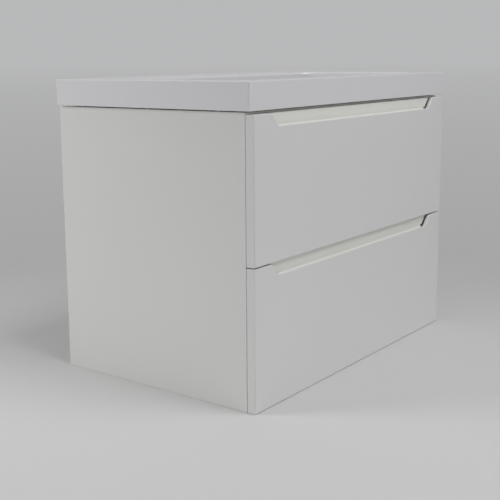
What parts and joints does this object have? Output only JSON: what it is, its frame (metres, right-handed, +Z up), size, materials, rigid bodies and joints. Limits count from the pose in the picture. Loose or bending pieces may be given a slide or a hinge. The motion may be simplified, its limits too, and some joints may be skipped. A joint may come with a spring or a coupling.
{
  "type": "floating vanity",
  "caption": "Wall-hung bathroom vanity with a slab washbasin and stacked drawers, each opened by a recess in its front's upper edge.",
  "frame": {"origin": "on the plane of the cabinet's lower edges, under the centre of the whole unit's width and depth", "axes": "+Z up, the drawer fronts face -Y, the wall side faces +Y, +X to the right as seen from the front"},
  "size_m": [0.75, 0.474, 0.585],
  "materials": {
    "basin_white": "gloss white gelcoat on cast mineral resin",
    "lacquer_white": "white lacquered fibreboard, satin gloss",
    "panel_white": "white melamine-faced board",
    "grip_white": "satin warm white",
    "drawer_white": "white melamine-faced board",
    "runner_steel": "zinc-plated steel",
    "fixing_steel": "zinc-plated steel",
    "chrome": "polished chrome",
    "nut_brass": "machined brass",
    "seal_rubber": "black rubber",
    "pad_soft": "clear soft pad",
    "hanger_plastic": "light grey moulded plastic",
    "clip_plastic": "grey moulded plastic",
    "beech": "plain beech"
  },
  "bodies": {
    "cabinet": {"washbasin": "basin_white", "basin_pads": "pad_soft", "overflow_ring": "chrome", "waste_body": "chrome", "waste_gaskets": "seal_rubber", "waste_nut": "nut_brass", "side_panel_left": "panel_white", "side_panel_right": "panel_white", "bottom_panel": "panel_white", "middle_rail": "panel_white", "front_rail": "panel_white", "back_rail_top": "panel_white", "back_rail_bottom": "panel_white", "dowels": "beech", "cam_locks": "fixing_steel", "cam_bolts": "fixing_steel", "front_bumpers": "pad_soft", "hanger_left": "hanger_plastic", "hanger_right": "hanger_plastic", "hooks": "fixing_steel", "wall_plate_left": "fixing_steel", "wall_plate_right": "fixing_steel", "hanger_screws": "fixing_steel", "hanger_adjusters": "fixing_steel", "rail_upper_left": "runner_steel", "rail_upper_right": "runner_steel", "rail_lower_left": "runner_steel", "rail_lower_right": "runner_steel", "rail_screws": "fixing_steel"},
    "waste_plug": {"waste_plug": "chrome"},
    "upper_drawer": {"upper_front": "lacquer_white", "upper_grip": "grip_white", "upper_box_front": "drawer_white", "upper_box_left": "drawer_white", "upper_box_right": "drawer_white", "upper_box_bottom": "drawer_white", "upper_back_left": "drawer_white", "upper_back_right": "drawer_white", "cutout_wall_left": "drawer_white", "cutout_wall_right": "drawer_white", "cutout_wall_front": "drawer_white", "upper_front_screws": "fixing_steel", "upper_clips": "clip_plastic", "carrier_upper_left": "runner_steel", "carrier_upper_right": "runner_steel"},
    "lower_drawer": {"lower_front": "lacquer_white", "lower_grip": "grip_white", "lower_box_front": "drawer_white", "lower_box_left": "drawer_white", "lower_box_right": "drawer_white", "lower_box_bottom": "drawer_white", "lower_box_back": "drawer_white", "lower_front_screws": "fixing_steel", "lower_clips": "clip_plastic", "carrier_lower_left": "runner_steel", "carrier_lower_right": "runner_steel"},
    "upper_slides": {"slide_upper_left": "runner_steel", "slide_upper_right": "runner_steel"},
    "lower_slides": {"slide_lower_left": "runner_steel", "slide_lower_right": "runner_steel"}
  },
  "joints": [
    {"name": "upper_drawer_slide", "type": "slide", "parent": "cabinet", "child": "upper_drawer", "axis": [0, -1, 0], "range_m": [0, 0.4]},
    {"name": "lower_drawer_slide", "type": "slide", "parent": "cabinet", "child": "lower_drawer", "axis": [0, -1, 0], "range_m": [0, 0.4]},
    {"name": "upper_slides_travel", "type": "slide", "parent": "cabinet", "child": "upper_slides", "axis": [0, -1, 0], "range_m": [0, 0.2]},
    {"name": "lower_slides_travel", "type": "slide", "parent": "cabinet", "child": "lower_slides", "axis": [0, -1, 0], "range_m": [0, 0.2]},
    {"name": "waste_plug_lift", "type": "slide", "parent": "cabinet", "child": "waste_plug", "axis": [0, 0, 1], "range_m": [0, 0.008]}
  ],
  "couplings": [
    {"joint": "upper_slides_travel", "follows": "upper_drawer_slide", "ratio": 0.5},
    {"joint": "lower_slides_travel", "follows": "lower_drawer_slide", "ratio": 0.5}
  ]
}
